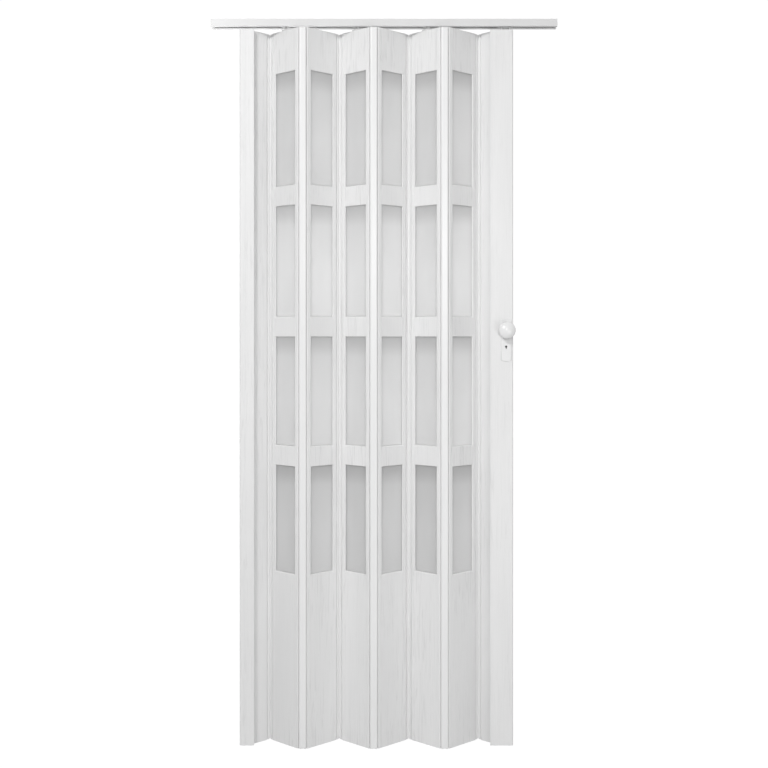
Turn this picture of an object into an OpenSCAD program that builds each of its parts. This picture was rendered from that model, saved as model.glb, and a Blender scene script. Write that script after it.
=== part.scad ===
// Accordion folding door: an overhead track, six glazed leaves between two
// plain half leaves, hinge strips at every fold, a fixed wall channel on the
// left and a lead post with knob, plate and lock on the right.
// X runs along the track, Y from front to back, Z up. The origin is on the
// track's top face, halfway along it.

/* [Track] */
// Length of the overhead track
track_len = 968; // [930:1:1100]
// Height of the track
track_h = 20; // [18:0.5:26]
// Depth of the track, front to back
track_d = 32; // [30:1:40]
// Wall of the track
track_wall = 2; // [1.6:0.1:2.6]
// Width of the slot in the track's underside
slot_w = 10; // [9:0.5:12]
// Radius of the screw holes in the track's top and in the wall channel
screw_hole_r = 2.25; // [1.8:0.05:2.6]
// Distance from each end of the track to its outer screw
track_screw_inset = 44; // [30:1:80]
// Distance between the inner pair of track screws
track_screw_inner = 300; // [200:5:400]

/* [Folding] */
// Angle between a leaf and the track as the door stands
fold_rest = 38.2; // [30:0.1:60]
// Smallest angle between a leaf and the track, with the door closed
fold_min = 19.2; // [15:0.1:25]
// Largest angle between a leaf and the track, with the door folded away
fold_max = 80; // [70:0.5:80]
// Distance between the two hinge axes of a glazed leaf
leaf_pitch = 110; // [100:1:120]
// Distance between the two hinge axes in a hinge strip
strip_pitch = 12; // [11.5:0.1:14]

/* [Leaves] */
// Number of glazed leaves, always even
leaf_count = 6; // [6]
// Height of the leaves, strips, channel and post
leaf_h = 2000; // [1900:5:2200]
// Thickness of a leaf
leaf_t = 9; // [8:0.25:9.5]
// Wall of a leaf's hollow section
leaf_wall = 1.2; // [0.9:0.1:1.5]
// Radius of the leaf body's corners
leaf_corner_r = 2; // [1:0.1:2.5]
// Gap between the track's underside and the leaves
leaf_gap = 9; // [7:0.5:12]
// Distance from a hinge axis to the body of its leaf
body_inset = 5.2; // [5:0.1:6.5]

/* [Hinges] */
// Radius of the bead along each leaf's edge
bead_r = 3.2; // [2.8:0.1:3.4]
// Thickness of the neck that carries the bead
neck_t = 2.2; // [1.8:0.1:2.4]
// Wall around a hinge socket
socket_wall = 1.4; // [1:0.1:1.6]
// Running clearance of round fits
run_gap = 0.06; // [0.03:0.01:0.1]
// How much shorter a hinge strip is at each end
strip_short = 1.5; // [0:0.5:4]

/* [Windows] */
// Number of windows in a leaf
window_count = 4; // [4]
// Height of the uppermost window
window_h = 317; // [300:1:330]
// How much shorter each window is than the one above
window_step = 6; // [0:0.5:8]
// Distance from a hinge axis to the window's side
window_inset = 18; // [17:0.5:22]
// Height of the solid part above the uppermost window
top_rail = 117; // [100:1:130]
// Height of the rails between windows
mid_rail = 56.5; // [50:0.5:65]
// Thickness of a pane
pane_t = 3; // [2:0.25:4]
// How far a pane reaches past its window, above and below
pane_lap = 8; // [5:0.5:12]
// How far a pane reaches past its window at each side
pane_side = 4; // [3:0.25:4]
// Clearance around a pane in its channel
pane_gap = 0.15; // [0.1:0.05:0.3]
// Height of the bars that hold a pane along its window's head and sill
glazing_bar = 3; // [2.6:0.1:4]
// Bevel round each window, on both faces
window_bevel = 1.2; // [0.6:0.1:1.4]
// Drop of the sloping sill under each window, on both faces
sill_drop = 2.4; // [1.4:0.1:2.5]
// Width of the grooves that run along both sides of the windows
groove_w = 1; // [0.6:0.1:1.4]
// Depth of those grooves
groove_depth = 0.4; // [0.2:0.05:0.6]

/* [Wall channel] */
// Distance from the track's left end to the wall channel
wall_offset = 80.4; // [60:0.2:90]
// Distance from the channel's back to the first hinge axis
wall_w = 30.6; // [28:0.1:36]
// Depth of the wall channel and the lead post, front to back
profile_d = 25; // [24:0.5:28]
// Wall of the channel and the post
profile_wall = 2; // [1.6:0.1:2.4]
// Reach of the channel's cover lip over the first fold, from the hinge axis
wall_lip_reach = 10; // [8:0.5:25]
// Width of the raised band on the channel's front
band_w = 11; // [8:0.5:14]
// Height of that band over the front
band_h = 0.8; // [0.4:0.1:1.2]
// Distance from each end of the channel to its outer screw
wall_screw_inset = 100; // [60:5:150]
// Distance between the inner pair of channel screws
wall_screw_inner = 600; // [400:10:800]

/* [Lead post] */
// Width of the post's hollow box
post_w = 40; // [38:0.5:44]
// Distance from the last hinge axis to the post's box
post_inset = 5; // [5:0.1:6]
// Reach of the post's cover lip over the last fold, from the hinge axis
lip_reach = 20; // [16:0.5:21]
// Radius of the post's corners
post_corner_r = 4; // [2:0.5:5]
// Distance between the two pins of the post's glider
post_pin_pitch = 22; // [18:0.5:22]
// Depth of the post's end caps
cap_depth = 12; // [8:0.5:20]

/* [Gliders] */
// Radius of the hanger pins
pin_r = 2.5; // [2:0.1:3]
// Length of a glider shoe
shoe_len = 24; // [20:0.5:26]
// Height of a glider shoe
shoe_h = 8; // [6:0.5:9]
// Clearance between a shoe and the track
shoe_gap = 0.3; // [0.2:0.05:0.5]
// Width of the hanger plug in a leaf's top
plug_w = 24; // [20:0.5:30]
// Depth of the hanger plug
plug_depth = 30; // [20:1:40]
// Thickness of the hanger's flange on the leaf
flange_t = 3; // [2:0.25:4]

/* [Lock and knob] */
// Height of the knob's axis over the leaves' lower end
knob_height = 1160; // [1000:1:1200]
// Radius of the knob
knob_r = 23.6; // [20:0.1:24]
// Radius of the knob's rounded rim
rim_r = 6.5; // [5:0.1:7]
// Radius of the knob's neck
neck_r = 10; // [8:0.1:11]
// Distance from the post's face to the back of the knob
knob_stand = 18.5; // [14:0.5:22]
// Radius of the knob's domed face
dome_r = 34; // [30:0.5:60]
// Width of the lock plates
plate_w = 28; // [24:0.5:32]
// Height of the lock plates
plate_h = 118; // [115:1:125]
// Thickness of the lock plates
plate_t = 3; // [2:0.1:3]
// Height of the plate's upper edge over the knob's axis
plate_top = 31; // [30:0.5:34]
// Distance from the knob's axis down to the keyhole
key_drop = 46; // [42:0.5:48]
// Side of the square spindle
spindle_w = 6; // [5:0.1:7]
// How far the latch stands out of the post
latch_out = 6; // [4:0.25:6]

/* [Hidden] */

$fn = 48;
pvc_colour = [0.95, 0.95, 0.95];
strip_colour = [0.90, 0.91, 0.92];
pane_colour = [0.82, 0.84, 0.85];
steel_colour = [0.62, 0.64, 0.66];
nylon_colour = [0.97, 0.97, 0.94];

// extra length of a cut past the face it leaves
cut = 1;

// how much rounder a cap's corners are than the post's inside
cap_ease = 0.5;

// places of the folds, seen from above
half_pitch = leaf_pitch / 2;
run_c = cos(fold_rest);
run_s = sin(fold_rest);
wall_x = wall_offset - track_len / 2;
first_x = wall_x + wall_w;
fold_step = leaf_pitch * run_c + strip_pitch;
fold_y = half_pitch * run_s;
last_x = strip_x(leaf_count + 1) + strip_pitch + half_pitch * run_c;

// heights
leaf_top = -track_h - leaf_gap;
leaf_bottom = leaf_top - leaf_h;
leaf_mid = leaf_top - leaf_h / 2;
knob_z = leaf_bottom + knob_height;

// hinge sockets
socket_r = bead_r + run_gap;
ring_r = socket_r + socket_wall;
neck_swing = asin(neck_t / 2 / socket_r) + 4;

// leaf section
inner_t = leaf_t / 2 - leaf_wall;
channel_x = window_inset - pane_side - pane_gap;
rib_t = leaf_wall;
lip_x = window_inset - 2;
lip_w = 2;
lip_y = pane_t / 2 + pane_gap;

// post
post_x = last_x + post_inset;
post_end = post_x + post_w;
lock_x = post_x + post_w / 2;
front_y = -profile_d / 2;
rear_y = profile_d / 2;

// track and gliders
track_in = track_d / 2 - track_wall;
shoe_floor = -track_h + track_wall + shoe_gap;
head_r = 5;
head_t = 2.5;
collar_r = 4.5;
collar_gap = 2;

// lock
case_wall = 1.5;
case_d = 17;
case_top = 18;
case_drop = 60;
case_left = 17.5;
hub_r = 7;
journal_r = 5;
barrel_r = 5;
arm_t = 4;
arm_r = 11;
tail_z = hub_r + 0.6;
tail_h = 4.4;
lug_w = 3.5;
lug_gap = 0.3;
bevel = 0.6;
pass_gap = 1;
boss_r = 3.2;
plate_screw_r = 1.5;
screw_top = 25;
screw_bottom = -80;
key_r = 3.2;

// left hinge axis of strip i
function strip_x(i) = first_x + half_pitch * run_c + (i - 1) * fold_step;
function side(i) = i % 2 == 1 ? 1 : -1;

// top of window i, measured down from the leaf's top
function window_top(i) =
    top_rail + i * (window_h + mid_rail) - window_step * i * (i - 1) / 2;
function window_size(i) = window_h - window_step * i;

module rounded(x0, y0, x1, y1, r) {
    translate([x0 + r, y0]) square([x1 - x0 - 2 * r, y1 - y0]);
    translate([x0, y0 + r]) square([x1 - x0, y1 - y0 - 2 * r]);
    for (x = [x0 + r, x1 - r], y = [y0 + r, y1 - r])
        translate([x, y]) circle(r);
}

module box(low, high) {
    translate(low) cube(high - low);
}

// a bar along Y with its axis at (x, z)
module bar_y(r, x, y0, y1, z) {
    translate([x, y1, z]) rotate([90, 0, 0]) cylinder(r = r, h = y1 - y0);
}

// puts a shape drawn from a leaf's left axis in the place of leaf i
module at_leaf(i) {
    translate([strip_x(i) + strip_pitch, side(i) * fold_y, 0])
        rotate([0, 0, -side(i) * fold_rest]) children();
}

module full_height(short = 0) {
    translate([0, 0, leaf_bottom + short]) linear_extrude(leaf_h - 2 * short) children();
}

// beads and necks at both edges of a leaf with axes len apart
module leaf_edges(len) {
    for (x = [0, len]) translate([x, 0]) circle(bead_r);
    translate([0, -neck_t / 2]) square([body_inset + leaf_corner_r, neck_t]);
    translate([len - body_inset - leaf_corner_r, -neck_t / 2])
        square([body_inset + leaf_corner_r, neck_t]);
}

module plain_section(len) {
    difference() {
        rounded(body_inset, -leaf_t / 2, len - body_inset, leaf_t / 2, leaf_corner_r);
        x0 = body_inset + leaf_corner_r;
        mid = len / 2;
        translate([x0, -inner_t]) square([mid - rib_t / 2 - x0, 2 * inner_t]);
        translate([mid + rib_t / 2, -inner_t]) square([mid - rib_t / 2 - x0, 2 * inner_t]);
    }
    leaf_edges(len);
}

// hollow section with a channel that holds the panes
module glazed_section(len) {
    side_x = body_inset + leaf_corner_r;
    difference() {
        rounded(body_inset, -leaf_t / 2, len - body_inset, leaf_t / 2, leaf_corner_r);
        for (x = [side_x, len - channel_x + rib_t])
            translate([x, -inner_t])
                square([channel_x - rib_t - side_x, 2 * inner_t]);
        translate([channel_x, -inner_t]) square([len - 2 * channel_x, 2 * inner_t]);
        for (x = [lip_x - groove_w, len - lip_x], y = [-leaf_t / 2, leaf_t / 2])
            translate([x, y - groove_depth]) square([groove_w, 2 * groove_depth]);
    }
    for (x = [lip_x, len - lip_x - lip_w], y = [-inner_t, lip_y])
        translate([x, y]) square([lip_w, inner_t - lip_y]);
    leaf_edges(len);
}

// opening of a socket, between two angles seen from its axis
module socket_mouth(a0, a1) {
    reach = 3 * ring_r;
    polygon([[0, 0], for (k = [0:3]) let (a = a0 + k * (a1 - a0) / 3)
        [reach * cos(a), reach * sin(a)]]);
}

module left_mouth() {
    socket_mouth(180 - fold_max - neck_swing, 180 - fold_min + neck_swing);
}

module strip_section() {
    difference() {
        union() {
            circle(ring_r);
            translate([strip_pitch, 0]) circle(ring_r);
            translate([0, -ring_r]) square([strip_pitch, ring_r]);
        }
        circle(socket_r);
        translate([strip_pitch, 0]) circle(socket_r);
        left_mouth();
        translate([strip_pitch, 0]) mirror([1, 0]) left_mouth();
    }
}

module hinge_strip(i) {
    color(strip_colour)
        translate([strip_x(i), side(i) * fold_y, 0])
            mirror([0, i % 2, 0]) full_height(strip_short) strip_section();
}

module glazing_bars(k) {
    start_x = channel_x - rib_t / 2;
    head_z = leaf_top - window_top(k);
    for (z = [head_z, head_z - window_size(k)], y = [-inner_t - leaf_wall / 2, lip_y])
        box([start_x, y, z - glazing_bar],
            [leaf_pitch - start_x, y + inner_t + leaf_wall / 2 - lip_y, z + glazing_bar]);
}

// opening of a window: bevelled edges and a sloping sill on both faces
module window_opening(k) {
    head_z = leaf_top - window_top(k);
    sill_z = head_z - window_size(k);
    end_x = leaf_pitch - window_inset;
    face_y = leaf_t / 2 + cut;
    bevel_y = leaf_t / 2 - window_bevel;
    sill_y = leaf_t / 2 - sill_drop;
    grow = window_bevel + cut;
    low_z = sill_z - sill_drop - cut;
    intersection() {
        translate([0, 0, low_z]) linear_extrude(head_z + grow - low_z)
            polygon([
                [window_inset - grow, -face_y], [window_inset, -bevel_y],
                [window_inset, bevel_y], [window_inset - grow, face_y],
                [end_x + grow, face_y], [end_x, bevel_y],
                [end_x, -bevel_y], [end_x + grow, -face_y]]);
        translate([window_inset - grow, 0, 0]) rotate([90, 0, 90])
            linear_extrude(end_x - window_inset + 2 * grow)
                polygon([
                    [-face_y, low_z], [-sill_y, sill_z],
                    [sill_y, sill_z], [face_y, low_z],
                    [face_y, head_z + grow], [bevel_y, head_z],
                    [-bevel_y, head_z], [-face_y, head_z + grow]]);
    }
}

module glazed_leaf(i) {
    color(pvc_colour) at_leaf(i) difference() {
        union() {
            full_height() glazed_section(leaf_pitch);
            for (k = [0:window_count - 1]) glazing_bars(k);
        }
        for (k = [0:window_count - 1]) window_opening(k);
    }
}

module panes(i) {
    side_x = window_inset - pane_side;
    color(pane_colour) at_leaf(i)
        for (k = [0:window_count - 1])
            box([side_x, -pane_t / 2 - pane_gap,
                    leaf_top - window_top(k) - window_size(k) - pane_lap],
                [leaf_pitch - side_x, pane_t / 2 - pane_gap,
                    leaf_top - window_top(k) + pane_lap]);
}

module half_leaf_wall() {
    color(pvc_colour) translate([first_x, 0, 0]) rotate([0, 0, fold_rest])
        full_height() plain_section(half_pitch);
}

module half_leaf_post() {
    color(pvc_colour) at_leaf(leaf_count + 1) full_height() plain_section(half_pitch);
}

module track() {
    color(pvc_colour) difference() {
        box([-track_len / 2, -track_d / 2, -track_h], [track_len / 2, track_d / 2, 0]);
        box([-track_len / 2 - cut, -track_in, -track_h + track_wall],
            [track_len / 2 + cut, track_in, -track_wall]);
        box([-track_len / 2 - cut, -slot_w / 2, -track_h - cut],
            [track_len / 2 + cut, slot_w / 2, -track_h / 2]);
        for (x = [-1, 1], d = [track_len - 2 * track_screw_inset, track_screw_inner])
            translate([x * d / 2, 0, -track_wall - cut])
                cylinder(r = screw_hole_r, h = track_wall + 2 * cut);
    }
}

module wall_section() {
    flange_end = first_x - post_inset;
    back = wall_x + profile_wall;
    difference() {
        union() {
            rounded(wall_x, front_y, flange_end + post_corner_r, rear_y, post_corner_r);
            translate([wall_x, 0]) square([post_corner_r, rear_y]);
            translate([wall_x + post_corner_r + profile_wall, front_y - band_h])
                square([band_w, band_h + profile_wall]);
        }
        translate([back, front_y + profile_wall])
            square([wall_w, profile_d - 2 * profile_wall]);
        translate([flange_end, front_y - cut]) square([wall_w, profile_d + 2 * cut]);
    }
    translate([flange_end - cut, front_y])
        square([first_x + wall_lip_reach - flange_end + cut - profile_wall / 2, profile_wall]);
    translate([first_x + wall_lip_reach - profile_wall / 2, front_y + profile_wall / 2])
        circle(profile_wall / 2);
    translate([back - cut, -profile_wall])
        square([first_x - socket_r - back + cut, 2 * profile_wall]);
    translate([first_x, 0]) difference() {
        circle(ring_r);
        circle(socket_r);
        mirror([1, 0]) left_mouth();
    }
}

module wall_channel() {
    hole_y = rear_y / 2;
    color(pvc_colour) difference() {
        full_height() wall_section();
        for (s = [-1, 1], d = [leaf_h - 2 * wall_screw_inset, wall_screw_inner])
            translate([wall_x - cut, hole_y, leaf_mid + s * d / 2])
                rotate([0, 90, 0]) cylinder(r = screw_hole_r, h = profile_wall + 2 * cut);
    }
}

module post_section() {
    lip_x0 = last_x - lip_reach;
    difference() {
        union() {
            rounded(post_x, front_y, post_end, rear_y, post_corner_r);
            translate([lip_x0 + profile_wall / 2, front_y])
                square([post_x - lip_x0 + post_corner_r, profile_wall]);
            translate([lip_x0 + profile_wall / 2, front_y + profile_wall / 2])
                circle(profile_wall / 2);
        }
        rounded(post_x + profile_wall, front_y + profile_wall,
            post_end - profile_wall, rear_y - profile_wall, post_corner_r / 2);
        translate([lip_x0 + 2 * profile_wall, front_y - cut])
            square([groove_w, cut + profile_wall / 3]);
    }
    difference() {
        union() {
            translate([last_x, 0]) circle(ring_r);
            translate([last_x, -profile_wall])
                square([post_inset + profile_wall / 2, 2 * profile_wall]);
        }
        translate([last_x, 0]) circle(socket_r);
        translate([last_x, 0]) left_mouth();
    }
}

module lead_post() {
    clear = 0.3;
    color(pvc_colour) difference() {
        full_height() post_section();
        bar_y(hub_r + pass_gap, lock_x, front_y - cut, rear_y + cut, knob_z);
        bar_y(barrel_r + pass_gap, lock_x, front_y - cut, rear_y + cut, knob_z - key_drop);
        for (z = [screw_top, screw_bottom])
            bar_y(boss_r + clear, lock_x, front_y - cut, rear_y + cut, knob_z + z);
        box([post_end - profile_wall - cut, -case_d / 4 - clear, knob_z + cut / 2 - clear],
            [post_end + cut, case_d / 4 + clear, knob_z + tail_z + tail_h + clear]);
    }
}

module post_cap(z0, z1) {
    translate([0, 0, z0]) linear_extrude(z1 - z0)
        rounded(post_x + profile_wall, front_y + profile_wall,
            post_end - profile_wall, rear_y - profile_wall, post_corner_r / 2 + cap_ease);
}

module hanger_pin(x, foot) {
    translate([x, 0, foot]) cylinder(r = collar_r, h = -track_h - collar_gap - foot);
    translate([x, 0, foot]) cylinder(r = pin_r, h = shoe_floor + shoe_h - foot);
    translate([x, 0, shoe_floor + shoe_h]) cylinder(r = head_r, h = head_t);
}

module post_cap_top() {
    color(nylon_colour) {
        post_cap(leaf_top - cap_depth, leaf_top);
        for (s = [-1, 1]) hanger_pin(lock_x + s * post_pin_pitch / 2, leaf_top - cut);
    }
}

module post_cap_bottom() {
    color(nylon_colour) post_cap(leaf_bottom, leaf_bottom + cap_depth);
}

// shoe that runs in the track, with its keel in the slot
module shoe(x, len, pins) {
    half_w = track_in - shoe_gap;
    corner = 3;
    color(nylon_colour) translate([x, 0, 0]) difference() {
        union() {
            translate([0, 0, shoe_floor]) linear_extrude(shoe_h)
                rounded(-len / 2, -half_w, len / 2, half_w, corner);
            box([-len / 2 + corner, -slot_w / 2 + shoe_gap, -track_h],
                [len / 2 - corner, slot_w / 2 - shoe_gap, shoe_floor + shoe_h / 2]);
        }
        for (p = pins) translate([p, 0, -track_h - cut])
            cylinder(r = pin_r + run_gap, h = shoe_h + track_h);
    }
}

module glider(i) {
    shoe(strip_x(i) + strip_pitch + half_pitch * run_c, shoe_len, [0]);
}

module post_glider() {
    shoe(lock_x, shoe_len + post_pin_pitch, [-post_pin_pitch / 2, post_pin_pitch / 2]);
}

module hanger(i) {
    gap = 0.1;
    color(nylon_colour) at_leaf(i) translate([half_pitch, 0, 0]) {
        box([-plug_w / 2, -inner_t + gap, leaf_top - plug_depth],
            [plug_w / 2, inner_t - gap, leaf_top]);
        translate([0, 0, leaf_top]) linear_extrude(flange_t)
            rounded(-plug_w / 2 - 1, -leaf_t / 2, plug_w / 2 + 1, leaf_t / 2, leaf_corner_r);
        hanger_pin(0, leaf_top);
    }
}

module keyhole() {
    circle(key_r);
    translate([-key_r / 2, -2.2 * key_r]) square([key_r, 2.2 * key_r]);
}

// plate outline in X and Z, extruded from y0 to y1, with its holes
module plate_blank(y0, y1) {
    corner = 3;
    difference() {
        translate([lock_x, y1, knob_z]) rotate([90, 0, 0]) linear_extrude(y1 - y0)
            difference() {
                rounded(-plate_w / 2, plate_top - plate_h, plate_w / 2, plate_top, corner);
                translate([0, -key_drop]) keyhole();
            }
        bar_y(neck_r + run_gap, lock_x, y0 - cut, y1 + cut, knob_z);
    }
}

module plate_front() {
    boss_end = rear_y - profile_wall - 2;
    color(pvc_colour) {
        plate_blank(front_y - plate_t, front_y);
        for (z = [screw_top, screw_bottom]) difference() {
            bar_y(boss_r, lock_x, front_y - cut, boss_end, knob_z + z);
            bar_y(plate_screw_r + run_gap, lock_x, front_y + profile_wall,
                boss_end + cut, knob_z + z);
        }
    }
}

module plate_rear() {
    color(pvc_colour) difference() {
        plate_blank(rear_y, rear_y + plate_t);
        for (z = [screw_top, screw_bottom]) {
            bar_y(plate_screw_r + run_gap, lock_x, rear_y - cut, rear_y + plate_t + cut,
                knob_z + z);
            bar_y(2 * plate_screw_r + run_gap, lock_x, rear_y + plate_t / 2,
                rear_y + plate_t + cut, knob_z + z);
        }
    }
}

module plate_screws() {
    head_y = rear_y + plate_t / 2;
    color(steel_colour) for (z = [screw_top, screw_bottom]) {
        bar_y(plate_screw_r, lock_x, front_y + 2 * profile_wall, head_y + cut / 2,
            knob_z + z);
        bar_y(2 * plate_screw_r, lock_x, head_y, rear_y + plate_t, knob_z + z);
    }
}

module lock_case() {
    half_d = case_d / 2;
    clear = 0.3;
    left = lock_x - case_left;
    right = post_end - profile_wall;
    color(steel_colour) difference() {
        box([left, -half_d, knob_z - case_drop], [right, half_d, knob_z + case_top]);
        box([left + case_wall, -half_d + case_wall, knob_z - case_drop + case_wall],
            [right - case_wall, half_d - case_wall, knob_z + case_top - case_wall]);
        bar_y(journal_r + run_gap, lock_x, -half_d - cut, half_d + cut, knob_z);
        bar_y(barrel_r + run_gap, lock_x, -half_d - cut, half_d + cut, knob_z - key_drop);
        box([right - case_wall - cut, -case_d / 4 - clear, knob_z + cut / 2 - clear],
            [right + cut, case_d / 4 + clear, knob_z + tail_z + tail_h + clear]);
    }
}

module latch_bolt() {
    head_x = post_end - 2 * profile_wall - case_wall;
    tail_y = arm_t / 2 + 0.6;
    nose = latch_out * bevel;
    lug_x = lock_x - arm_t / 2 - lug_gap;
    color(steel_colour) {
        difference() {
            box([head_x, -case_d / 4, knob_z + cut / 2],
                [post_end + latch_out, case_d / 4, knob_z + tail_z + tail_h]);
            translate([post_end + latch_out, case_d / 4, knob_z])
                rotate([0, 0, -atan(nose / (case_d / 2))])
                    box([0, -case_d, -cut], [case_d, cut, case_d + cut]);
        }
        box([lug_x - lug_w, tail_y, knob_z + tail_z],
            [head_x + cut, case_d / 4, knob_z + tail_z + tail_h]);
        box([lug_x - lug_w, -arm_t / 2, knob_z + tail_z],
            [lug_x, tail_y + cut, knob_z + tail_z + tail_h]);
    }
}

module latch_hub() {
    inside = case_d / 2 - case_wall - 0.3;
    color(steel_colour) difference() {
        union() {
            bar_y(hub_r, lock_x, -inside, inside, knob_z);
            bar_y(journal_r, lock_x, -case_d / 2, case_d / 2, knob_z);
            box([lock_x - arm_t / 2, -arm_t / 2, knob_z],
                [lock_x + arm_t / 2, arm_t / 2, knob_z + arm_r]);
        }
        spindle_hole(-case_d, case_d);
    }
}

module spindle_hole(y0, y1) {
    half = spindle_w / 2 + 0.05;
    box([lock_x - half, y0, knob_z - half], [lock_x + half, y1, knob_z + half]);
}

module key_cam() {
    inside = case_d / 2 - case_wall - 0.3;
    slot = key_r / 2;
    color(steel_colour) translate([0, 0, -key_drop]) difference() {
        union() {
            bar_y(barrel_r, lock_x, -case_d / 2, case_d / 2, knob_z);
            bar_y(hub_r, lock_x, -inside, inside, knob_z);
            box([lock_x - arm_t / 2, -arm_t / 2, knob_z - arm_r],
                [lock_x + arm_t / 2, arm_t / 2, knob_z]);
        }
        box([lock_x - slot / 2, -case_d, knob_z - barrel_r + 1],
            [lock_x + slot / 2, case_d, knob_z + slot]);
    }
}

module spindle() {
    reach = profile_d / 2 + knob_stand - 3;
    half = spindle_w / 2;
    color(steel_colour)
        box([lock_x - half, -reach, knob_z - half], [lock_x + half, reach, knob_z + half]);
}

// outline of the knob: radius against distance from the post's face
module knob_outline() {
    rim_x = knob_r - rim_r;
    rim_y = knob_stand + rim_r;
    dome_y = rim_y - sqrt(pow(dome_r - rim_r, 2) - pow(rim_x, 2));
    translate([0, run_gap]) square([neck_r, knob_stand + 1]);
    translate([0, knob_stand]) square([rim_x, rim_r]);
    translate([rim_x, rim_y]) intersection() {
        circle(rim_r);
        translate([-rim_x, -2 * rim_r]) square([knob_r, 4 * rim_r]);
    }
    intersection() {
        translate([0, dome_y]) circle(dome_r);
        polygon([[0, dome_y], [2 * rim_x, 2 * rim_y - dome_y], [0, 2 * rim_y - dome_y]]);
    }
}

// dir is -1 for the front knob and 1 for the rear one
module knob(dir) {
    color(pvc_colour) difference() {
        translate([lock_x, dir * profile_d / 2, knob_z]) rotate([-90 * dir, 0, 0])
            rotate_extrude() knob_outline();
        spindle_hole(-profile_d / 2 - knob_stand + 2, profile_d / 2 + knob_stand - 2);
    }
}

track();
wall_channel();
half_leaf_wall();
hinge_strip(1);  // hinge_strip_1
hinge_strip(2);  // hinge_strip_2
hinge_strip(3);  // hinge_strip_3
hinge_strip(4);  // hinge_strip_4
hinge_strip(5);  // hinge_strip_5
hinge_strip(6);  // hinge_strip_6
hinge_strip(7);  // hinge_strip_7
glazed_leaf(1);  // leaf_1
glazed_leaf(2);  // leaf_2
glazed_leaf(3);  // leaf_3
glazed_leaf(4);  // leaf_4
glazed_leaf(5);  // leaf_5
glazed_leaf(6);  // leaf_6
panes(1);  // panes_1
panes(2);  // panes_2
panes(3);  // panes_3
panes(4);  // panes_4
panes(5);  // panes_5
panes(6);  // panes_6
hanger(1);  // hanger_1
hanger(3);  // hanger_3
hanger(5);  // hanger_5
glider(1);  // glider_1
glider(3);  // glider_3
glider(5);  // glider_5
half_leaf_post();
lead_post();
post_cap_top();
post_cap_bottom();
post_glider();
plate_front();
plate_rear();
plate_screws();
lock_case();
latch_bolt();
latch_hub();
key_cam();
spindle();
knob(-1);  // knob_front
knob(1);  // knob_rear
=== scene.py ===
import math

import bmesh
import bpy
from mathutils import Matrix, Vector

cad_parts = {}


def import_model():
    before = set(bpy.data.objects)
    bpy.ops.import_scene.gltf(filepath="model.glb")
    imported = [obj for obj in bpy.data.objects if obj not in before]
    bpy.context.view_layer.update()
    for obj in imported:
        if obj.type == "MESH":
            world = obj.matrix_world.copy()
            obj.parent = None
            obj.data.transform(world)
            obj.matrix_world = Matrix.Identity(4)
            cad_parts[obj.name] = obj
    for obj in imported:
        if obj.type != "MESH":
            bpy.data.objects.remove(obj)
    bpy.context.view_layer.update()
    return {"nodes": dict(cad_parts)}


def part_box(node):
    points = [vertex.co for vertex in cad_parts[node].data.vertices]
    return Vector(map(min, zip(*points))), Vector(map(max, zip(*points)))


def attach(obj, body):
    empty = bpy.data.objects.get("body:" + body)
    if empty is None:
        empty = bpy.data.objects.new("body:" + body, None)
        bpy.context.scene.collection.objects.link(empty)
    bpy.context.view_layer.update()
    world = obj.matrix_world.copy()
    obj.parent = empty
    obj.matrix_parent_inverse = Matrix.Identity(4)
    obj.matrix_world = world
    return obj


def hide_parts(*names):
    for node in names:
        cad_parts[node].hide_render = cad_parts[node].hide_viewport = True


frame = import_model()

# The whole scene is in metres, in the frame of the CAD part: X along the
# track, Y away from the camera, Z up from the track's top face.
LEAF_TOP = -0.029
LEAF_H = 2.0

# the rows of windows: how far each head lies below the leaf's top, how high
# the window is, and the painted light that lightens or darkens its pane row by row
WINDOW_TOPS = (0.117, 0.4905, 0.858, 1.2195)
WINDOW_HEIGHTS = (0.317, 0.311, 0.305, 0.299)
PAINTED_ROW_LIGHT = (0.99, 1.05, 1.01, 0.93)
# a pane's painted shade on its way down, where 0 is the window's head and 1 its sill:
# painted shade under the head, clearing downwards, and a painted lift of light at the sill
PAINTED_PANE_SHADE = ((-0.02, 0.84), (0.07, 0.86), (0.18, 0.97), (0.60, 1.0), (0.965, 0.99), (1.01, 1.06))
PANE_TRANSLUCENCE = 0.75

# plastics and acrylic
PVC_IOR = 1.5
ACRYLIC_IOR = 1.49
GRAIN_RELIEF = 0.0010
FROST_RELIEF = 0.0005
FINE_RELIEF = 0.0003
# where a cloud of noise starts and ends its change of tone
CLOUD_LOW = 0.3
CLOUD_HIGH = 0.7

# what each pattern of the wood grain adds to its height and to its shade
FIBRE_HEIGHT = 0.55
SLIT_HEIGHT = 1.4
WAVE_HEIGHT = 0.4
MARK_DEPTH = 0.5
FIBRE_SHADE = 0.35
MOTTLE_SHADE = 0.65
GRAIN_STRENGTH = 0.45
MARK_STRENGTH = 0.75
MARK_TONE = 0.86

# the lock plates, with their holes measured from the knob's axis
PLATE_TOP = 0.031
PLATE_T = 0.003
PLATE_CORNER = 0.003
PLATE_ARCH = 0.0035
PLATE_BEVEL = 0.0009
NECK_HOLE_R = 0.01006
KEY_R = 0.0032
KEY_SLOT = 0.00704
KEY_DROP = 0.046
# how many degrees below the level the slot's sides leave its hole
KEY_SIDE = 60
SCREW_HOLE_R = 0.00306
SCREW_PLACES = (0.025, -0.080)
# points or steps along the plates' round forms
NECK_HOLE_POINTS = 48
SCREW_HOLE_POINTS = 24
KEY_STEPS = 20
ARCH_STEPS = 16
CORNER_STEPS = 8
WELD = 1e-6

# the camera, from the photograph's perspective
CAMERA_AT = (0.0, -2.825, -0.899)
CAMERA_LENS = 47.2
CAMERA_SENSOR = 36.0
CAMERA_SHIFT_Y = -0.056

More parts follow.
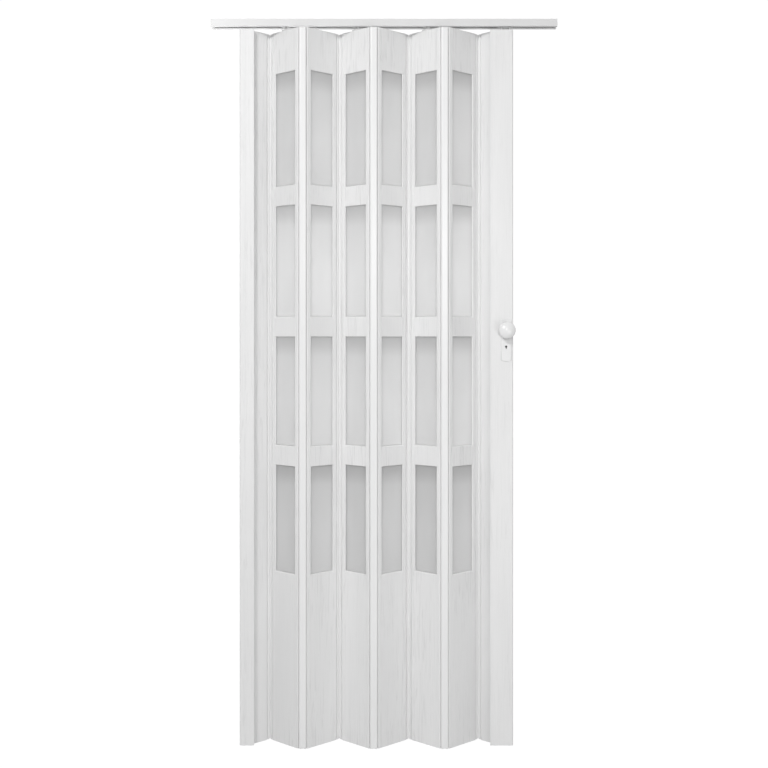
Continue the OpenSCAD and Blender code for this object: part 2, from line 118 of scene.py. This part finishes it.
# area lamps: name, place, target, width, height and watts
LAMPS = (
    ("key", (-1.7, -3.5, 1.4), (0.0, 0.0, -1.05), 0.5, 0.5, 84),
    ("front", (0.2, -2.6, -0.4), (0.0, 0.0, -1.25), 0.3, 0.3, 12.5),
    ("fill", (1.2, -2.1, -1.6), (0.05, 0.0, -1.65), 1.2, 0.7, 9.5),
    ("back", (-1.1, 2.5, -0.7), (0.0, 0.0, -0.9), 1.6, 1.6, 26),
)

# the background: its light on the door, and the white that the camera,
# reflections and clear faces see instead
WHITE = (1, 1, 1, 1)
WORLD_LIGHT = 0.42
WORLD_WHITE = 1.03
FLOOR_Z = LEAF_TOP - LEAF_H - 0.012
FLOOR_SIZE = 9.0
FLOOR_CELLS = 8
FLOOR_GLOW = 1.16
FLOOR_GLOW_SHARE = 0.85


class Nodes:
    """Short calls that add shader nodes to one tree and link them."""

    def __init__(self, name=None, tree=None):
        if tree is None:
            self.material = bpy.data.materials.new(name)
            self.material.use_nodes = True
            tree = self.material.node_tree
        self.tree = tree
        self.tree.nodes.clear()

    def add(self, kind, inputs, **values):
        """A node whose inputs are other nodes' outputs or plain values."""
        node = self.tree.nodes.new(kind)
        for key, value in values.items():
            setattr(node, key, value)
        for key, value in inputs.items():
            if isinstance(value, bpy.types.NodeSocket):
                self.tree.links.new(value, node.inputs[key])
            else:
                node.inputs[key].default_value = value
        return node

    def math(self, operation, a, b):
        return self.add("ShaderNodeMath", {0: a, 1: b}, operation=operation).outputs[0]

    def linear(self, value, factor, offset):
        """The value times a factor, plus an offset."""
        return self.math("ADD", self.math("MULTIPLY", value, factor), offset)

    def step(self, value, start, end):
        """0 below start, 1 above end, and a straight run between them."""
        return self.add("ShaderNodeMapRange", {
            "Value": value, "From Min": start, "From Max": end}).outputs["Result"]

    def place(self):
        return self.add("ShaderNodeTexCoord", {}).outputs["Object"]

    def noise(self, scale, detail=3.0, rough=0.5, distortion=0.0):
        """Noise with its scale given along X, Y and Z, in waves per metre."""
        mapping = self.add("ShaderNodeMapping", {"Vector": self.place(), "Scale": scale})
        return self.add("ShaderNodeTexNoise", {
            "Vector": mapping.outputs["Vector"], "Scale": 1.0, "Detail": detail,
            "Roughness": rough, "Distortion": distortion}).outputs["Fac"]

    def ramp(self, value, stops):
        node = self.add("ShaderNodeValToRGB", {"Fac": value})
        elements = node.color_ramp.elements
        while len(elements) > 1:
            elements.remove(elements[-1])
        for i, (at, colour) in enumerate(stops):
            element = elements[0] if i == 0 else elements.new(at)
            element.position = at
            element.color = colour
        return node.outputs["Color"]

    def cloud(self, value, dark, light):
        """A colour that drifts between two greys with the noise."""
        return self.ramp(value, ((CLOUD_LOW, dark), (CLOUD_HIGH, light)))

    def mix(self, factor, a, b, blend="MIX"):
        """Two colours mixed; 0, 6 and 7 are the node's colour sockets."""
        return self.add("ShaderNodeMix", {0: factor, 6: a, 7: b},
            data_type="RGBA", blend_type=blend).outputs[2]

    def mix_shaders(self, factor, a, b):
        return self.add("ShaderNodeMixShader", {
            0: factor, 1: a.outputs[0], 2: b.outputs[0]}).outputs[0]

    def bump(self, height, strength, distance):
        return self.add("ShaderNodeBump", {
            "Height": height, "Strength": strength, "Distance": distance}).outputs["Normal"]

    def surface(self, socket):
        self.add("ShaderNodeOutputMaterial", {"Surface": socket})
        return self.material

    def principled(self, inputs):
        return self.surface(self.add("ShaderNodeBsdfPrincipled", inputs).outputs[0])


def grey(value, tint=0.0):
    """A grey, or a slightly cool one where the tint is above 0."""
    return (value * (1 - tint), value, value * (1 + tint), 1.0)


def embossed_pvc(name, tone, grain=1.0):
    """White PVC whose face is pressed with an upright wood grain."""
    n = Nodes(name)
    fibres = n.noise((420, 420, 7), detail=4, rough=0.6, distortion=0.5)
    pores = n.noise((1300, 1300, 34), detail=2, rough=0.55)
    waves = n.noise((55, 55, 1.5), distortion=1.4)
    flecks = n.noise((190, 190, 10), rough=0.6, distortion=0.9)
    patches = n.noise((8, 8, 2.6), detail=2)
    mottle = n.noise((7, 7, 1.3), detail=2)

    slits = n.math("SMOOTH_MIN", n.math("SUBTRACT", pores, 0.36), 0.1)
    marked = n.math("MULTIPLY", n.step(flecks, 0.53, 0.64), n.step(patches, 0.36, 0.56))
    height = n.linear(fibres, FIBRE_HEIGHT, n.math("MULTIPLY", slits, SLIT_HEIGHT))
    height = n.math("ADD", height, n.math("MULTIPLY", waves, WAVE_HEIGHT))
    height = n.math("SUBTRACT", height, n.math("MULTIPLY", marked, MARK_DEPTH))

    shade = n.linear(fibres, FIBRE_SHADE, n.math("MULTIPLY", mottle, MOTTLE_SHADE))
    colour = n.ramp(shade, ((0.36, grey(tone * 0.945)), (0.62, grey(tone * 1.005))))
    share = n.math("MULTIPLY", marked, MARK_STRENGTH * grain)
    return n.principled({
        "Base Color": n.mix(share, colour, grey(tone * MARK_TONE)),
        "Roughness": n.linear(pores, 0.16, 0.38), "IOR": PVC_IOR,
        "Normal": n.bump(height, GRAIN_STRENGTH * grain, GRAIN_RELIEF)})


def smooth_pvc(name, tone, rough=0.36):
    """Extruded plastic with faint draw lines along it."""
    n = Nodes(name)
    lines = n.noise((900, 900, 2.5), detail=2)
    drift = n.noise((26, 26, 5), detail=2)
    return n.principled({
        "Base Color": n.cloud(drift, grey(tone * 0.975), grey(tone)),
        "Roughness": n.linear(lines, 0.14, rough - 0.07), "IOR": PVC_IOR,
        "Normal": n.bump(lines, 0.12, FINE_RELIEF)})


def moulded(name, tone, rough):
    """Injection moulded plastic, nearly glossy, with a faint orange peel."""
    n = Nodes(name)
    peel = n.noise((420, 420, 420), detail=2, rough=0.45)
    drift = n.noise((60, 60, 60), detail=2)
    return n.principled({
        "Base Color": n.cloud(drift, grey(tone * 0.985), grey(tone)),
        "Roughness": n.linear(peel, 0.1, rough), "IOR": PVC_IOR,
        "Normal": n.bump(peel, 0.05, FINE_RELIEF)})


def metal(name, tone, rough=0.3):
    """Steel with fine brushing."""
    n = Nodes(name)
    brush = n.noise((300, 2400, 2400), rough=0.6)
    spots = n.noise((180, 180, 180))
    return n.principled({
        "Base Color": n.cloud(spots, grey(tone * 0.9, 0.02), grey(tone, 0.01)),
        "Metallic": 1.0, "Roughness": n.linear(brush, 0.25, rough - 0.1),
        "Normal": n.bump(brush, 0.08, FINE_RELIEF)})


def painted_pane_stops(tone):
    """Every row's painted light and painted shade, placed by their share of the leaf's height."""
    return [((top + part * height) / LEAF_H, grey(tone * row_light * shade))
        for top, height, row_light in zip(WINDOW_TOPS, WINDOW_HEIGHTS, PAINTED_ROW_LIGHT)
        for part, shade in PAINTED_PANE_SHADE]


def frosted_with_painted_shade(name, tone):
    """Frosted acrylic, with painted shade under each window's head that clears downwards."""
    n = Nodes(name)
    z = n.add("ShaderNodeSeparateXYZ", {"Vector": n.place()}).outputs["Z"]
    down = n.math("DIVIDE", n.math("SUBTRACT", LEAF_TOP, z), LEAF_H)
    frost = n.noise((1100, 1100, 1100), rough=0.6)
    ripple = n.noise((70, 70, 22), detail=2, distortion=0.5)
    drift = n.cloud(n.noise((14, 14, 4), detail=2), grey(0.97), grey(1.0))
    # the pane's colour holds painted shade under each head, painted light row by row and a painted
    # lift of light at each sill
    colour = n.mix(1.0, n.ramp(down, painted_pane_stops(tone)), drift, "MULTIPLY")
    normal = n.bump(n.linear(frost, 0.5, ripple), 0.10, FROST_RELIEF)
    face = n.add("ShaderNodeBsdfPrincipled", {
        "Base Color": colour, "Roughness": n.linear(frost, 0.2, 0.34),
        "IOR": ACRYLIC_IOR, "Coat Weight": 0.15, "Coat Roughness": 0.2, "Normal": normal})
    through = n.add("ShaderNodeBsdfTranslucent", {"Color": colour, "Normal": normal})
    return n.surface(n.mix_shaders(PANE_TRANSLUCENCE, face, through))


MATERIALS = {
    "leaf": embossed_pvc("pvc_embossed_leaf", 0.80),
    "frame": embossed_pvc("pvc_embossed_frame", 0.785, 0.8),
    "track": smooth_pvc("pvc_track", 0.69),
    "strip": smooth_pvc("pvc_soft_strip", 0.80, 0.34),
    "pane": frosted_with_painted_shade("acrylic_frosted", 0.79),
    "nylon": smooth_pvc("nylon_white", 0.66, 0.42),
    "metal": metal("zinc_plated_steel", 0.60),
    "barrel": metal("dark_steel", 0.10, 0.4),
    "moulded": moulded("moulded_white", 0.775, 0.20),
    "knob": moulded("moulded_knob", 0.78, 0.11),
}

# the first row that holds the start of a node's name gives its material
LOOKS = (
    ("pane", ("panes",)),
    ("strip", ("hinge_strip",)),
    ("leaf", ("leaf_", "half_leaf")),
    ("nylon", ("hanger", "glider", "post_glider", "post_cap")),
    ("barrel", ("key_cam",)),
    ("metal", ("lock_case", "latch", "spindle", "plate_screws")),
    ("knob", ("knob",)),
    ("moulded", ("plate_",)),
    ("track", ("track",)),
)


def look_of(node):
    for look, starts in LOOKS:
        if node.startswith(starts):
            return look
    return "frame"


def dress_nodes():
    for node, obj in frame["nodes"].items():
        obj.data.materials.clear()
        obj.data.materials.append(MATERIALS[look_of(node)])


def add_object(name, data):
    obj = bpy.data.objects.new(name, data)
    bpy.context.scene.collection.objects.link(obj)
    return obj


def arc(x, z, r, start, end, steps):
    """Points along an arc about (x, z), between two angles in degrees."""
    turns = [math.radians(start + (end - start) * i / steps) for i in range(steps + 1)]
    return [(x + r * math.cos(turn), z + r * math.sin(turn)) for turn in turns]


def round_hole(z, r, points):
    """A whole circle on the plate's middle line."""
    return arc(0, z, r, 0, 360 - 360 / points, points - 1)


def keyhole():
    """A round hole with a slot below it, half as wide as the hole."""
    foot = -KEY_DROP - KEY_SLOT
    hole = arc(0, -KEY_DROP, KEY_R, -KEY_SIDE, 180 + KEY_SIDE, KEY_STEPS)
    return hole + [(-KEY_R / 2, foot), (KEY_R / 2, foot)]


def plate_rim(left, right, bottom, top):
    """The plate's outline: round corners above and an arched lower edge."""
    r = PLATE_CORNER
    half = (right - left) / 2
    arch_r = (half ** 2 + PLATE_ARCH ** 2) / (2 * PLATE_ARCH)
    spread = math.degrees(math.asin(half / arch_r))
    return (arc(right - r, top - r, r, 0, 90, CORNER_STEPS)
        + arc(left + r, top - r, r, 90, 180, CORNER_STEPS)
        + arc((left + right) / 2, bottom + arch_r, arch_r, 270 - spread, 270 + spread, ARCH_STEPS))


def plate_curve(name, outlines):
    """A curve that is filled between its rim and its holes, with bevelled edges."""
    curve = bpy.data.curves.new(name, "CURVE")
    curve.dimensions = "2D"
    curve.fill_mode = "BOTH"
    curve.bevel_depth = PLATE_BEVEL
    curve.bevel_resolution = 2
    curve.offset = -PLATE_BEVEL
    curve.extrude = PLATE_T / 2 - PLATE_BEVEL
    for outline in outlines:
        spline = curve.splines.new("POLY")
        spline.points.add(len(outline) - 1)
        for point, (x, z) in zip(spline.points, outline):
            point.co = (x, z, 0, 1)
        spline.use_cyclic_u = True
    return curve


def upright_mesh(curve, place):
    """The curve's mesh, stood upright at its place and closed along its seams."""
    shape = add_object(curve.name + "_curve", curve)
    bpy.context.view_layer.update()
    ready = shape.evaluated_get(bpy.context.evaluated_depsgraph_get())
    mesh = bpy.data.meshes.new_from_object(ready)
    bpy.data.objects.remove(shape)
    mesh.transform(Matrix.Translation(place) @ Matrix.Rotation(math.radians(90), 4, "X"))
    b = bmesh.new()
    b.from_mesh(mesh)
    bmesh.ops.remove_doubles(b, verts=b.verts, dist=WELD)
    bmesh.ops.recalc_face_normals(b, faces=b.faces)
    b.to_mesh(mesh)
    b.free()
    return mesh


def lock_plate(name, node, holes):
    """A lock plate with bevelled edges, in place of the square-edged solid."""
    low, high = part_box(node)
    middle = (low.x + high.x) / 2
    axis_z = high.z - PLATE_TOP
    rim = plate_rim(low.x - middle, high.x - middle, low.z - axis_z, high.z - axis_z)
    curve = plate_curve(name, [rim] + holes)
    mesh = upright_mesh(curve, (middle, low.y + PLATE_T / 2, axis_z))
    mesh.materials.clear()
    mesh.materials.append(MATERIALS["moulded"])
    obj = add_object(name, mesh)
    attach(obj, "post_body")
    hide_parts(node)


def camera():
    data = bpy.data.cameras.new("camera")
    data.lens = CAMERA_LENS
    data.sensor_width = CAMERA_SENSOR
    data.shift_y = CAMERA_SHIFT_Y
    obj = add_object("camera", data)
    obj.location = CAMERA_AT
    obj.rotation_euler = (math.radians(90), 0, 0)
    bpy.context.scene.camera = obj


def lamp(name, place, target, width, height, watts):
    data = bpy.data.lights.new(name, "AREA")
    data.shape = "RECTANGLE"
    data.size = width
    data.size_y = height
    data.energy = watts
    obj = add_object(name, data)
    obj.location = place
    obj.rotation_euler = (Vector(target) - Vector(place)).to_track_quat("-Z", "Y").to_euler()


def background_rays(n):
    """1 for a ray from the camera, off a glossy face or through a clear one."""
    path = n.add("ShaderNodeLightPath", {})
    seen = n.math("MAXIMUM", path.outputs["Is Camera Ray"], path.outputs["Is Glossy Ray"])
    return n.math("MAXIMUM", seen, path.outputs["Is Transmission Ray"])


def world():
    """An even grey light, with white where the camera or a reflection sees it."""
    w = bpy.data.worlds.new("world")
    bpy.context.scene.world = w
    w.use_nodes = True
    n = Nodes(tree=w.node_tree)
    soft = n.add("ShaderNodeBackground", {"Color": WHITE, "Strength": WORLD_LIGHT})
    white = n.add("ShaderNodeBackground", {"Color": WHITE, "Strength": WORLD_WHITE})
    n.add("ShaderNodeOutputWorld", {"Surface": n.mix_shaders(background_rays(n), soft, white)})


def floor():
    """A pale floor that the camera sees as nearly white."""
    n = Nodes("floor_white")
    dust = n.cloud(n.noise((3, 3, 3), detail=2), grey(0.50), grey(0.54))
    matte = n.add("ShaderNodeBsdfDiffuse", {"Color": dust})
    glow = n.add("ShaderNodeEmission", {"Color": WHITE, "Strength": FLOOR_GLOW})
    seen = n.math("MULTIPLY", background_rays(n), FLOOR_GLOW_SHARE)
    mesh = bpy.data.meshes.new("floor")
    mesh.materials.append(n.surface(n.mix_shaders(seen, matte, glow)))
    b = bmesh.new()
    bmesh.ops.create_grid(b, x_segments=FLOOR_CELLS, y_segments=FLOOR_CELLS, size=FLOOR_SIZE)
    b.to_mesh(mesh)
    b.free()
    obj = add_object("floor", mesh)
    obj.location = (0, 0, FLOOR_Z)


dress_nodes()
plate_holes = [round_hole(0, NECK_HOLE_R, NECK_HOLE_POINTS), keyhole()]
screw_holes = [round_hole(z, SCREW_HOLE_R, SCREW_HOLE_POINTS) for z in SCREW_PLACES]
lock_plate("lock_plate_front", "plate_front", plate_holes)
lock_plate("lock_plate_rear", "plate_rear", plate_holes + screw_holes)

camera()
world()
for values in LAMPS:
    lamp(*values)
floor()

bpy.context.scene.view_settings.view_transform = "Standard"
